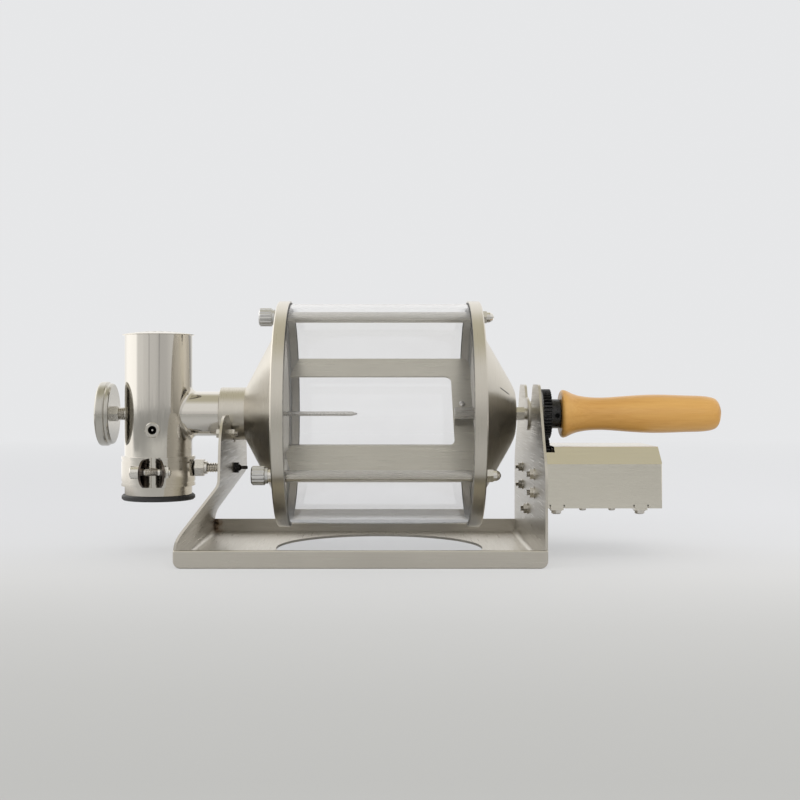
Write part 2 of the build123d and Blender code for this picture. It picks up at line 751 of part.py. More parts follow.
with BuildPart() as motor_jack:
    turn([(196.0, 0), (196.0, 5.0), (cover_right, 5.0), (cover_right, 6.3), (cover_right + 1.2, 6.3),
          (cover_right + 1.2, 3.0), (198.0, 3.0), (198.0, 1.0), (204.5, 1.0), (204.5, 0)],
         (0, 28, 60), X)
keep(motor_jack, "motor_jack")

flange_outer_face = cover_left + cover_wall
bolt_kinds = ((large_mount_bolts, 2.5, 8.0), (small_mount_bolts, 2.0, 7.0))

with BuildPart() as mount_bolts:
    for points, radius, flats in bolt_kinds:
        prisms_along_x(flats, flange_outer_face, 3.5, points)
        for y, z in points:
            turn([(arm_inner_face - 4, 0), (arm_inner_face - 4, radius), (flange_outer_face, radius),
                  (flange_outer_face, 0)], (0, y, z), X)
            turn(thread_outline(arm_inner_face - 6.4, arm_inner_face - 4, radius, 0.8, 0.3), (0, y, z), X)
keep(mount_bolts, "mount_bolts")

with BuildPart() as mount_nuts:
    for points, radius, flats in bolt_kinds:
        prisms_along_x(flats, arm_inner_face - 4, 3.2, points)
        for y, z in points:
            turn(tube_outline(arm_inner_face - 0.8, arm_inner_face, radius, flats * 0.64), (0, y, z), X)
        holes_along_x(radius, arm_inner_face - 4, 4.0, points)
keep(mount_nuts, "mount_nuts")

# ---------------------------------------------------------------- collector

collector_axis = (collector_x, 0, 0)
tube_bore = tube_radius - tube_wall

with BuildPart() as collector_tube:
    turn([(tube_bottom, 0), (tube_bottom, tube_radius), (tube_top, tube_radius), (tube_top, 0)],
         collector_axis, Z)
    turn([(collector_x, 0), (collector_x, branch_radius), (branch_right, branch_radius), (branch_right, 0)],
         on_axis, X)
    fillet(collector_tube.edges().filter_by(lambda edge: edge.geom_type not in (GeomType.CIRCLE, GeomType.LINE)),
           radius=branch_fillet)
    turn([(tube_bottom, 0), (tube_bottom, tube_bore), (tube_top, tube_bore), (tube_top, 0)],
         collector_axis, Z, mode=Mode.SUBTRACT)
    turn([(collector_x, 0), (collector_x, branch_radius - tube_wall),
          (branch_right, branch_radius - tube_wall), (branch_right, 0)], on_axis, X, mode=Mode.SUBTRACT)
    turn([(-tube_radius - 1, 0), (-tube_radius - 1, 5.5), (-10, 5.5), (-10, 0)],
         (collector_x, 0, jack_height), Y, mode=Mode.SUBTRACT)
    turn([(-250, 0), (-250, 5.0), (-235, 5.0), (-235, 0)], on_axis, X, mode=Mode.SUBTRACT)
keep(collector_tube, "collector_tube")

with BuildPart() as collector_lid:
    with BuildSketch(Plane((collector_x, 0, tube_top), x_dir=X, z_dir=(0, -1, 0))):
        with BuildLine():
            Polyline((0, lid_rise - 1.2), (0, lid_rise))
            ThreePointArc((0, lid_rise), (lid_radius * 0.6, lid_rise * 0.72), (lid_radius, 0.6))
            Polyline((lid_radius, 0.6), (lid_radius, 0), (tube_bore - 0.3, 0), (tube_bore - 0.3, -7),
                     (tube_bore - 1.5, -7), (tube_bore - 1.5, 0))
            ThreePointArc((tube_bore - 1.5, 0), (lid_radius * 0.5, lid_rise * 0.8 - 1.2), (0, lid_rise - 1.2))
        make_face()
    revolve(axis=Axis(collector_axis, Z))
    with BuildSketch(Plane.XY.offset(tube_top - 2)):
        for ring_radius, count in ((6, 6), (12, 12), (18, 18)):
            with Locations((collector_x, 0)):
                with PolarLocations(ring_radius, count, start_angle=180 / count):
                    Circle(1.5)
    extrude(amount=8, mode=Mode.SUBTRACT)
keep(collector_lid, "collector_lid")

fan_bottom = 140.0
with BuildPart() as fan_frame:
    turn(tube_outline(fan_bottom, fan_bottom + 18, tube_bore - 1.5, tube_bore), collector_axis, Z)
    turn([(fan_bottom, 0), (fan_bottom, 10), (fan_bottom + 3, 10), (fan_bottom + 3, 1.5),
          (fan_bottom + 10, 1.5), (fan_bottom + 10, 0)], collector_axis, Z)
    for spoke in range(4):
        angle = 45 + 90 * spoke
        middle = Plane((collector_x, 0, fan_bottom), x_dir=(cos(radians(angle)), sin(radians(angle)), 0))
        with BuildSketch(middle):
            with Locations((17.5, 0)):
                Rectangle(17, 3)
        extrude(amount=2)
keep(fan_frame, "fan_frame")

with BuildPart() as fan_rotor:
    turn([(fan_bottom + 3.5, 1.5 + running_gap), (fan_bottom + 3.5, 11), (fan_bottom + 15, 11),
          (fan_bottom + 16, 10), (fan_bottom + 16, 0), (fan_bottom + 11, 0),
          (fan_bottom + 11, 1.5 + running_gap)], collector_axis, Z)
    for blade in range(7):
        angle = radians(blade * 360 / 7)
        outward = (cos(angle), sin(angle), 0)
        root = (collector_x + 10 * cos(angle), 10 * sin(angle), fan_bottom + 9.5)
        with BuildSketch(Plane(root, x_dir=(-sin(angle), cos(angle), 0), z_dir=outward)):
            Rectangle(13, 1.2, rotation=35)
        extrude(amount=14)
keep(fan_rotor, "fan_rotor")

with BuildPart() as fan_jack:
    turn([(-29.6, jack_radius - 0.4), (-29.2, jack_radius), (-28.5, jack_radius), (-28.5, 5.5),
          (-16.0, 5.5), (-16.0, 0), (-18.0, 0), (-18.0, 3.3), (-29.2, 3.3), (-29.6, 3.7)],
         (collector_x, 0, jack_height), Y)
keep(fan_jack, "fan_jack")

with BuildPart() as fan_jack_pin:
    turn([(-28.3, 0), (-28.3, 0.7), (-27.8, 1.1), (-18.0, 1.1), (-18.0, 0)],
         (collector_x, 0, jack_height), Y)
keep(fan_jack_pin, "fan_jack_pin")

# ---------------------------------------------------------------- clamp and brace

bolt_y, bolt_z = clamp_bolt_at
slot_faces = (clamp_slot_x - clamp_gap / 2, clamp_slot_x + clamp_gap / 2)
lug_height = clamp_top - tube_bottom - 1
lug_middle = (tube_bottom + clamp_top) / 2


def lug_face(side, y):
    """X of a splayed lug's inner face at a depth y; side 0 is the left lug and 1 the right."""
    share = (y - lug_root_y) / (lug_tip_y - lug_root_y)
    return slot_faces[side] + share * (lug_tips[side] - slot_faces[side])


with BuildPart() as clamp_band:
    turn(tube_outline(tube_bottom, clamp_top, tube_radius, clamp_radius), collector_axis, Z)
    for groove_bottom in (tube_bottom + 2.5, clamp_top - 4.0):
        turn(tube_outline(groove_bottom, groove_bottom + 1.5, clamp_radius - 0.6, clamp_radius + 1),
             collector_axis, Z, mode=Mode.SUBTRACT)
    with BuildSketch(Plane.XY.offset(tube_bottom - 1)):
        with Locations((clamp_slot_x, -clamp_radius)):
            Rectangle(clamp_gap, 12)
    extrude(amount=clamp_top - tube_bottom + 2, mode=Mode.SUBTRACT)
    with BuildSketch(Plane.XY.offset(tube_bottom + 0.5)):
        for side, outward in ((0, -lug_wall), (1, lug_wall)):
            with BuildLine():
                Polyline(
                    (slot_faces[side], lug_root_y),
                    (lug_tips[side], lug_tip_y),
                    (lug_tips[side] + outward, lug_tip_y),
                    (slot_faces[side] + outward, lug_root_y),
                    close=True,
                )
            make_face()
    extrude(amount=lug_height)
    with BuildSketch(Plane.YZ.offset(lug_tips[0] - 5)):
        with Locations((lug_tip_y + 5, lug_middle)):
            Rectangle(14, 2 * lug_height)
        with Locations((lug_tip_y + 11.5, lug_middle)):
            RectangleRounded(23, lug_height, 11, mode=Mode.SUBTRACT)
    extrude(amount=lug_tips[1] - lug_tips[0] + 10, mode=Mode.SUBTRACT)
    holes_along_x(3.3, lug_tips[0] - 5, lug_tips[1] - lug_tips[0] + 10, [clamp_bolt_at])
keep(clamp_band, "clamp_band")

head_right = lug_face(0, bolt_y - 5.2) - lug_wall
nut_left = lug_face(1, bolt_y - 5.2) + lug_wall
thread_ends = (lug_face(0, bolt_y), lug_face(1, bolt_y))

with BuildPart() as clamp_bolt:
    turn([(clamp_bolt_head_left, 0), (clamp_bolt_head_left, 4.6), (clamp_bolt_head_left + 0.6, 5.2),
          (head_right, 5.2), (head_right, 3.0), (thread_ends[0], 3.0), (thread_ends[0], 0)],
         (0, bolt_y, bolt_z), X)
    turn(thread_outline(*thread_ends, 3.0), (0, bolt_y, bolt_z), X)
    turn([(thread_ends[1], 0), (thread_ends[1], 3.0), (clamp_bolt_end, 3.0), (clamp_bolt_end, 0)],
         (0, bolt_y, bolt_z), X)
    with BuildSketch(Plane.YZ.offset(clamp_bolt_head_left)):
        with Locations(clamp_bolt_at):
            RegularPolygon(2.5, 6, major_radius=False)
    extrude(amount=3.5, mode=Mode.SUBTRACT)
keep(clamp_bolt, "clamp_bolt")

with BuildPart() as clamp_nut:
    prisms_along_x(9.0, nut_left, 4.2, [clamp_bolt_at])
    holes_along_x(3.0, nut_left, 4.2, [clamp_bolt_at])
keep(clamp_nut, "clamp_nut")

brace_left = collector_x + clamp_radius
with BuildPart() as brace_stud:
    turn([(brace_left, 0), (brace_left, 4.0), (-176.0, 4.0), (-176.0, 0)], (0, 0, brace_height), X)
    turn(thread_outline(-176.0, arm_left_face - 1.4, 4.2, 2.0, 0.6), (0, 0, brace_height), X)
    turn([(arm_left_face - 2.4, 0), (arm_left_face - 2.4, 4.0), (arm_right_face, 4.0),
          (arm_right_face, stud_tip_radius), (arm_right_face + 4.6, stud_tip_radius),
          (arm_right_face + 5.8, 1.5), (arm_right_face + 10.6, 1.5), (arm_right_face + 11.2, 0.9),
          (arm_right_face + 11.2, 0)], (0, 0, brace_height), X)
keep(brace_stud, "brace_stud")

with BuildPart() as brace_nut:
    prisms_along_x(14.0, brace_left + 0.5, 7.6, [(0, brace_height)])
    turn(tube_outline(brace_left + 8.1, brace_left + 10.5, 4.0, 5.6), (0, 0, brace_height), X)
    holes_along_x(4.0, brace_left + 0.5, 10.0, [(0, brace_height)])
keep(brace_nut, "brace_nut")

with BuildPart() as brace_lock_nut:
    prisms_along_x(8.6, arm_right_face, lock_nut_length, [(0, brace_height)])
    holes_along_x(stud_tip_radius, arm_right_face, lock_nut_length, [(0, brace_height)])
keep(brace_lock_nut, "brace_lock_nut")

# ---------------------------------------------------------------- chaff cup

cup_shoulder = tube_bottom - 0.3
ring_top = cup_ring_bottom + 4.5
with BuildPart() as chaff_cup:
    turn(
        [
            (cup_ring_bottom + 0.5, 0), (cup_ring_bottom + 0.5, 27.0), (ring_top, 27.0),
            (ring_top, tube_radius), (cup_shoulder, tube_radius), (cup_shoulder, tube_bore - 0.3),
            (82.0, tube_bore - 0.3), (82.0, tube_bore - 1.5), (cup_ring_bottom + 2, tube_bore - 1.5),
            (cup_ring_bottom + 2, 0),
        ],
        collector_axis, Z)
keep(chaff_cup, "chaff_cup")

with BuildPart() as cup_ring:
    turn(
        [
            (cup_ring_bottom, 27.0), (cup_ring_bottom, cup_ring_radius - 1.2),
            (cup_ring_bottom + 1.2, cup_ring_radius), (ring_top - 1.2, cup_ring_radius),
            (ring_top, cup_ring_radius - 1.2), (ring_top, 27.0),
        ],
        collector_axis, Z)
keep(cup_ring, "cup_ring")

# ---------------------------------------------------------------- thermometer

with BuildPart() as dial_case:
    turn(
        [
            (dial_left, dial_radius - 4.0), (dial_left, dial_radius - 1.6),
            (dial_left + 0.5, dial_radius - 0.7), (dial_left + 1.4, dial_radius - 0.1),
            (dial_left + 2.4, dial_radius), (dial_left + 6.4, dial_radius),
            (dial_left + 7.4, dial_radius - 0.4), (dial_left + 8.2, dial_radius - 1.4),
            (dial_back - 1.6, dial_radius - 1.4), (dial_back - 0.4, dial_radius - 2.0),
            (dial_back, dial_radius - 3.0), (dial_back, 3.0),
            (dial_back - 1.2, 3.0), (dial_back - 1.2, dial_radius - 2.6),
            (dial_left + 1.5, dial_radius - 2.6), (dial_left + 1.5, dial_radius - 4.0),
        ],
        on_axis, X)
keep(dial_case, "dial_case")

with BuildPart() as dial_plate:
    turn(tube_outline(dial_back - 3.6, dial_back - 3.0, 3.0, dial_radius - 2.6), on_axis, X)
keep(dial_plate, "dial_plate")

with BuildPart() as dial_lens:
    turn(tube_outline(dial_left + 1.5, dial_left + 3.0, 0, dial_radius - 2.6), on_axis, X)
keep(dial_lens, "dial_lens")

pointer_left = dial_left + 4.6
with BuildPart() as dial_pointer:
    with BuildSketch(Plane((pointer_left, 0, axis_height), x_dir=Y, z_dir=X)):
        Circle(2.4)
        with BuildLine():
            Polyline((-1.1, -6), (1.1, -6), (0.35, 20), (-0.35, 20), close=True)
        make_face()
    extrude(amount=0.8)
keep(dial_pointer, "dial_pointer")

with BuildPart() as probe_gland:
    prisms_along_x(12.6, dial_back, 4.2, [(0, axis_height)])
    turn(thread_outline(dial_back + 4.2, collector_x - tube_radius, 5.6, 1.3, 0.5), on_axis, X)
    turn([(collector_x - tube_radius - 1.5, 0), (collector_x - tube_radius - 1.5, 5.0), (-240.0, 5.0),
          (-240.0, 0)], on_axis, X)
    holes_along_x(probe_radius, dial_back, 20.0, [(0, axis_height)])
keep(probe_gland, "probe_gland")

with BuildPart() as probe:
    turn([(dial_back - 4.0, 0), (dial_back - 4.0, probe_radius), (probe_tip - 5, probe_radius),
          (probe_tip - 1, 0.8), (probe_tip, 0)], on_axis, X)
keep(probe, "probe")
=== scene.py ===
import math

import bmesh
import bpy
from mathutils import Matrix, Vector


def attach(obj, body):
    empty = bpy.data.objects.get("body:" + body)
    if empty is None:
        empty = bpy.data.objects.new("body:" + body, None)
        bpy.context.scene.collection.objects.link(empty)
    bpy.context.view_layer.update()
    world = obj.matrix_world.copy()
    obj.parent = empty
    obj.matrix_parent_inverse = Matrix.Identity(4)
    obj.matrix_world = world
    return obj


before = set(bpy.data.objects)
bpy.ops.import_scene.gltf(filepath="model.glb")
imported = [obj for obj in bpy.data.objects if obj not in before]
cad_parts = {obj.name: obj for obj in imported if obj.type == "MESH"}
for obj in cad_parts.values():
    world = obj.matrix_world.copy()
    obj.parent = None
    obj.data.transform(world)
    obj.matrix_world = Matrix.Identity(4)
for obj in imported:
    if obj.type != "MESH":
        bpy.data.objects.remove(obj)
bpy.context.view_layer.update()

# Stovetop coffee bean roaster: the CAD nodes carry the shapes, and this script gives them their
# finish and adds the fine pieces. All lengths are in metres.

MM = 0.001
AXIS_HEIGHT = 0.116                 # the drum's axis, which runs along X
COLLECTOR_X = -0.2156               # the collector's upright axis


# ---------------------------------------------------------------- camera and light

PHOTO_SIDE = 800                    # pixels along a side of the photograph
FOCAL_PIXELS = 1200                 # distance of the picture plane, in the photograph's pixels
PRINCIPAL_POINT = (383.0, 384.5)    # where the camera's axis meets the photograph, in pixels
SCALE_AT_AXIS = 0.856 * MM          # metres per pixel in the plane of the drum axis
SENSOR_WIDTH = 36.0                 # of the camera, in millimetres
CAMERA_X = -0.02355
CAMERA_HEIGHT = 0.141


def make_camera():
    """A level camera with the photograph's frame, lens and shift."""
    data = bpy.data.cameras.new("camera")
    data.sensor_width = SENSOR_WIDTH
    data.lens = data.sensor_width * FOCAL_PIXELS / PHOTO_SIDE
    data.shift_x = (PHOTO_SIDE / 2 - PRINCIPAL_POINT[0]) / PHOTO_SIDE
    data.shift_y = (PRINCIPAL_POINT[1] - PHOTO_SIDE / 2) / PHOTO_SIDE
    data.clip_start = 0.01
    data.clip_end = 50
    camera = bpy.data.objects.new("camera", data)
    bpy.context.scene.collection.objects.link(camera)
    camera.location = (CAMERA_X, -FOCAL_PIXELS * SCALE_AT_AXIS, CAMERA_HEIGHT)
    camera.rotation_euler = (math.radians(90), 0, 0)
    bpy.context.scene.camera = camera


# Name, place, target, size (width, height), radiance and colour of each soft box
LIGHTS = [
    ("overhead", (0.0, 0.1, 1.6), (0, 0, 0.1), (2.6, 2.0), 0.38, (1, 1, 1)),
    ("front", (0.1, -1.9, 0.7), (0, 0, 0.1), (2.2, 1.2), 1.75, (1.0, 0.985, 0.955)),
    ("window", (-1.5, -0.5, 0.55), (-0.1, 0, 0.1), (0.9, 1.3), 1.3, (1.0, 0.985, 0.96)),
    ("right_card", (1.5, -0.6, 0.7), (0.1, 0, 0.1), (0.8, 1.0), 0.8, (1.0, 0.98, 0.95)),
]


def area_light(name, place, target, size, radiance, colour):
    """A soft box of the given size, aimed at a point."""
    data = bpy.data.lights.new(name, "AREA")
    data.shape = "RECTANGLE"
    data.size, data.size_y = size
    data.energy = math.pi * size[0] * size[1] * radiance
    data.color = colour
    light = bpy.data.objects.new(name, data)
    bpy.context.scene.collection.objects.link(light)
    light.location = place
    aim = Vector(target) - Vector(place)
    light.rotation_euler = aim.to_track_quat("-Z", "Y").to_euler()
    light.visible_camera = False
    light.visible_transmission = False
    light.visible_glossy = False


BACKDROP = (0.795, 0.80, 0.81)      # what the camera and the glass see behind the object
FILL = 0.66                         # the studio's even light on matt surfaces
TABLE_LIGHT = 0.58                  # share of the table's brightness that comes from below
FLOOR_GLOW = (1.00, 1.10)           # the table's own light at its left and right
FLOOR_GLOW_SPAN = (-0.45, 0.45)     # x between which the glow goes from the one to the other
FLOOR_RADIUS = 6.0
# The table is a little darker towards the viewer, as the photograph's is: tones over FLOOR_DEPTH.
FLOOR_TONES = [
    (0.0, (0.49, 0.49, 0.475)), (0.3, (0.60, 0.60, 0.59)), (0.5, (0.695, 0.695, 0.69)),
    (0.7, (0.745, 0.75, 0.76)), (1.0, (0.76, 0.765, 0.78)),
]
FLOOR_DEPTH = (-0.60, 0.30)         # y of the first and the last of those tones
FLOOR_FADE = (0.5, 2.2)             # distance over which the table fades into the backdrop

# What metal sees round it near the horizon, by the angle from straight ahead of the object (-Y)
# towards its right (+X), in degrees: a pale room, a bright window on the left and thin dark gaps.
ROOM_BANDS = [
    (-180, 0.86), (-152, 1.05), (-136, 1.24), (-122, 1.50), (-108, 1.56), (-72, 1.50), (-64, 0.93),
    (-44, 0.90), (-41, 0.84), (-24, 0.80), (-22, 0.36), (-20, 0.76), (0, 0.74), (10, 0.66),
    (12.5, 0.34), (15, 0.62), (36, 0.64), (52, 0.74), (84, 0.80), (90, 0.68), (96, 0.82),
    (128, 0.92), (152, 0.90), (180, 0.86),
]
ROOM_TINT = (1, 0.985, 0.96)        # the colour of those tones
# The room's tone by the sine of the height above its horizon, before the ceiling takes over
ROOM_HEIGHTS = [(0.0, 1.0), (0.10, 1.02), (0.30, 1.30), (0.75, 1.34), (1.0, 1.34)]
CEILING = (0.64, 0.605, 0.47)
CEILING_FROM = (0.76, 0.96)         # sines of the heights between which the ceiling takes over
# The room is dimmer low in its far right corner: the share of light lost there, and the parts of
# the direction (to the right, back and up) between which the dimming comes in or goes out.
CORNER_DIMMING = 0.60
CORNER_RIGHT = (0.2, 0.6)
CORNER_BACK = (-0.1, 0.3)
CORNER_TOP = (0.02, 0.14)

# In the metal's reflections only, a dark table lies beyond the pale one, and a bright wall beyond it.
DUSK_LEFT = (0.19, 0.175, 0.15)
DUSK_RIGHT = (0.36, 0.33, 0.285)
DUSK_SIDES = (-0.1, 0.1)            # x between which the left tone goes over into the right one
DUSK_FROM_SIDE = (0.30, 0.55)       # distance from the middle at which the dark table begins
DUSK_FROM_FRONT = (-0.35, 0.0)      # y at which it begins
BRIGHT_WALL = (1.30, 1.27, 1.22)
BRIGHT_WALL_FROM = (0.62, 1.05)     # distance at which the wall begins


def new_node(tree, kind, **settings):
    node = tree.nodes.new(kind)
    for name, value in settings.items():
        setattr(node, name, value)
    return node


def join_maths(tree, operation, *operands):
    """A Math node in a tree; each operand is a socket or a number."""
    node = new_node(tree, "ShaderNodeMath", operation=operation)
    for socket, value in zip(node.inputs, operands):
        if isinstance(value, (int, float)):
            socket.default_value = value
        else:
            tree.links.new(value, socket)
    return node.outputs[0]


def map_range(tree, value, span, low, high):
    """Maps a socket from the span (start, end) to low..high, held at the ends."""
    node = new_node(tree, "ShaderNodeMapRange")
    for name, number in zip(("From Min", "From Max", "To Min", "To Max"), (*span, low, high)):
        node.inputs[name].default_value = number
    tree.links.new(value, node.inputs["Value"])
    return node.outputs["Result"]


def colour_ramp(tree, value, stops):
    """A colour ramp; stops are (position, (r, g, b))."""
    node = new_node(tree, "ShaderNodeValToRGB")
    elements = node.color_ramp.elements
    while len(elements) < len(stops):
        elements.new(0.5)
    for element, (position, colour) in zip(elements, stops):
        element.position = position
        element.color = (*colour, 1)
    tree.links.new(value, node.inputs["Fac"])
    return node.outputs["Color"]


def mix_shaders(tree, share, first, second):
    node = new_node(tree, "ShaderNodeMixShader")
    for source, socket in zip((share, first, second), node.inputs):
        tree.links.new(source, socket)
    return node.outputs[0]


def make_world():
    """A pale studio: a plain backdrop for the camera and the glass, a banded room for the metal."""
    world = bpy.data.worlds.new("studio")
    bpy.context.scene.world = world
    world.use_nodes = True
    tree = world.node_tree
    tree.nodes.clear()
    output = new_node(tree, "ShaderNodeOutputWorld")
    rays = new_node(tree, "ShaderNodeLightPath")

    def background(colour):
        node = new_node(tree, "ShaderNodeBackground")
        node.inputs["Color"].default_value = (*colour, 1)
        return node

    parts = new_node(tree, "ShaderNodeSeparateXYZ")
    tree.links.new(new_node(tree, "ShaderNodeTexCoord").outputs["Generated"], parts.inputs[0])
    right, back, up = parts.outputs
    turn = join_maths(tree, "ARCTAN2", right, join_maths(tree, "MULTIPLY", back, -1))
    share = join_maths(tree, "MULTIPLY_ADD", turn, 1 / math.tau, 0.5)
    bands = colour_ramp(tree, share, [((degrees + 180) / 360, tuple(tone * part for part in ROOM_TINT))
                                      for degrees, tone in ROOM_BANDS])
    heights = colour_ramp(tree, up, [(sine, (tone, tone, tone)) for sine, tone in ROOM_HEIGHTS])

    corner = join_maths(tree, "MULTIPLY", map_range(tree, right, CORNER_RIGHT, 0, 1),
                        map_range(tree, back, CORNER_BACK, 0, 1))
    dimming = join_maths(tree, "MULTIPLY", corner, map_range(tree, up, CORNER_TOP, CORNER_DIMMING, 0))
    strength = join_maths(tree, "MULTIPLY", heights, join_maths(tree, "SUBTRACT", 1, dimming))

    walls = background((1, 1, 1))
    tree.links.new(bands, walls.inputs["Color"])
    tree.links.new(strength, walls.inputs["Strength"])
    room = mix_shaders(tree, map_range(tree, up, CEILING_FROM, 0, 1), walls.outputs[0],
                       background(CEILING).outputs[0])
    fill = background((FILL, FILL, FILL)).outputs[0]
    metal = mix_shaders(tree, rays.outputs["Is Glossy Ray"], fill, room)
    clear = join_maths(tree, "MAXIMUM", rays.outputs["Is Camera Ray"],
                       rays.outputs["Is Transmission Ray"])
    seen = mix_shaders(tree, clear, metal, background(BACKDROP).outputs[0])
    tree.links.new(seen, output.inputs[0])


def make_floor():
    """A large pale lit table that keeps a soft shadow and fades into the backdrop far off."""
    mesh = bpy.data.meshes.new("floor")
    build = bmesh.new()
    bmesh.ops.create_circle(build, cap_ends=True, segments=96, radius=FLOOR_RADIUS)
    build.to_mesh(mesh)
    build.free()
    floor = bpy.data.objects.new("floor", mesh)
    bpy.context.scene.collection.objects.link(floor)
    surface = Surface("floor_paint", roughness=0.7)
    surface.set("Specular IOR Level", 0.1)
    reach = surface.add("ShaderNodeVectorMath", operation="LENGTH")
    surface.join(surface.add("ShaderNodeTexCoord").outputs["Object"], reach.inputs[0])
    reach = reach.outputs["Value"]
    along, away = surface.where("X"), surface.where("Y")
    rays = surface.add("ShaderNodeLightPath")
    seen = surface.maths("MAXIMUM", rays.outputs["Is Camera Ray"], rays.outputs["Is Transmission Ray"])
    reflected = surface.maths("MULTIPLY", rays.outputs["Is Glossy Ray"],
                              surface.maths("SUBTRACT", 1, seen))

    tone = surface.ramp(surface.spread(away, 0.0, 1.0, *FLOOR_DEPTH), FLOOR_TONES)
    surface.colour(tone)
    glow = surface.add("ShaderNodeEmission")
    surface.join(tone, glow.inputs["Color"])
    surface.join(surface.spread(along, *FLOOR_GLOW, *FLOOR_GLOW_SPAN), glow.inputs["Strength"])
    lit = surface.blend(surface.maths("MULTIPLY", seen, TABLE_LIGHT), surface.shader.outputs[0],
                        glow.outputs[0])
    far = surface.maths("MULTIPLY", seen, surface.spread(reach, 0.0, 1.0, *FLOOR_FADE))
    plain = surface.blend(far, lit, surface.glow(BACKDROP))

    dusk = surface.blend(surface.spread(along, 0.0, 1.0, *DUSK_SIDES), surface.glow(DUSK_LEFT),
                         surface.glow(DUSK_RIGHT))
    wall = surface.blend(surface.spread(reach, 0.0, 1.0, *BRIGHT_WALL_FROM), dusk,
                         surface.glow(BRIGHT_WALL))
    aside = surface.maths("ABSOLUTE", along, 0)
    beyond = surface.maths("MULTIPLY", surface.spread(aside, 0.0, 1.0, *DUSK_FROM_SIDE),
                           surface.spread(away, 0.0, 1.0, *DUSK_FROM_FRONT))
    mirrored = surface.blend(surface.maths("MULTIPLY", beyond, reflected), plain, wall)
    surface.join(mirrored, surface.tree.nodes["Material Output"].inputs["Surface"])
    floor.data.materials.append(surface.material)


# ---------------------------------------------------------------- materials

class Surface:
    """A Principled material, with short calls to add and join nodes."""

    def __init__(self, name, colour=(0.8, 0.8, 0.8), metallic=0.0, roughness=0.5):
        self.material = bpy.data.materials.new(name)
        self.material.use_nodes = True
        self.tree = self.material.node_tree
        self.shader = self.tree.nodes["Principled BSDF"]
        self.set("Base Color", (*colour, 1))
        self.set("Metallic", metallic)
        self.set("Roughness", roughness)

    def set(self, socket, value):
        self.shader.inputs[socket].default_value = value

    def add(self, kind, **settings):
        return new_node(self.tree, kind, **settings)

    def join(self, source, target):
        self.tree.links.new(source, target)

    def maths(self, operation, first, second):
        """A Math node; each operand is a socket or a number."""
        return join_maths(self.tree, operation, first, second)

    def spread(self, value, low, high, start=0.0, end=1.0):
        """Maps a value from start..end to low..high."""
        return map_range(self.tree, value, (start, end), low, high)

    def ramp(self, value, stops):
        """A colour ramp; stops are (position, (r, g, b))."""
        return colour_ramp(self.tree, value, stops)

    def blend(self, share, first, second):
        """Blends two shaders."""
        return mix_shaders(self.tree, share, first, second)

    def mix(self, share, first, second):
        """Blends two colours; each is a socket or a tuple."""
        node = self.add("ShaderNodeMix", data_type="RGBA")
        self.join(share, node.inputs[0])
        for socket, value in ((node.inputs[6], first), (node.inputs[7], second)):
            if isinstance(value, tuple):
                socket.default_value = (*value, 1)
            else:
                self.join(value, socket)
        return node.outputs[2]

    def place(self, scale):
        """The object's own coordinates, scaled."""
        coordinates = self.add("ShaderNodeTexCoord")
        mapping = self.add("ShaderNodeMapping")
        mapping.inputs["Scale"].default_value = scale
        self.join(coordinates.outputs["Object"], mapping.inputs["Vector"])
        return mapping.outputs["Vector"]

    def where(self, axis):
        """One of the object's own coordinates."""
        parts = self.add("ShaderNodeSeparateXYZ")
        self.join(self.add("ShaderNodeTexCoord").outputs["Object"], parts.inputs[0])
        return parts.outputs[axis]

    def distance(self, *places):
        """Distance from a point, in the axes given as (axis, value)."""
        total = 0.0
        for axis, value in places:
            offset = self.maths("SUBTRACT", self.where(axis), value)
            total = self.maths("ADD", self.maths("MULTIPLY", offset, offset), total)
        return self.maths("SQRT", total, 0)

    def round_axis(self, along, height, scale_along, scale_out, scale_turn):
        """Coordinates for turned work: distance along the axis, radius and a slow angle.

        along is "X" for pieces on the drum axis, at that height, and "Z" for pieces on the
        collector's axis, at that X."""
        length, across = self.where(along), self.where("Y")
        up = self.maths("SUBTRACT", self.where("Z" if along == "X" else "X"), height)
        squares = (self.maths("MULTIPLY", across, across), self.maths("MULTIPLY", up, up))
        radius = self.maths("SQRT", self.maths("ADD", *squares), 0)
        angle = self.maths("ARCTAN2", up, across)
        joined = self.add("ShaderNodeCombineXYZ")
        for number, (value, scale) in enumerate(((length, scale_along), (radius, scale_out),
                                                 (angle, scale_turn))):
            self.join(self.maths("MULTIPLY", value, scale), joined.inputs[number])
        return joined.outputs[0]

    def noise(self, vector, detail=3.0, roughness=0.55):
        """Noise over coordinates that are scaled already."""
        node = self.add("ShaderNodeTexNoise")
        node.inputs["Scale"].default_value = 1.0
        node.inputs["Detail"].default_value = detail
        node.inputs["Roughness"].default_value = roughness
        self.join(vector, node.inputs["Vector"])
        return node.outputs["Fac"]

    def marks(self, fineness, detail):
        """Even noise over the whole piece."""
        return self.noise(self.place((fineness, fineness, fineness)), detail=detail)

    def glow(self, colour):
        """A plain light of one colour."""
        node = self.add("ShaderNodeEmission")
        node.inputs["Color"].default_value = (*colour, 1)
        return node.outputs[0]

    def colour(self, value):
        self.join(value, self.shader.inputs["Base Color"])

    def rough(self, value):
        self.join(value, self.shader.inputs["Roughness"])

    def bump(self, height, distance):
        node = self.add("ShaderNodeBump")
        node.inputs["Strength"].default_value = 1.0
        node.inputs["Distance"].default_value = distance
        self.join(height, node.inputs["Height"])
        self.join(node.outputs["Normal"], self.shader.inputs["Normal"])


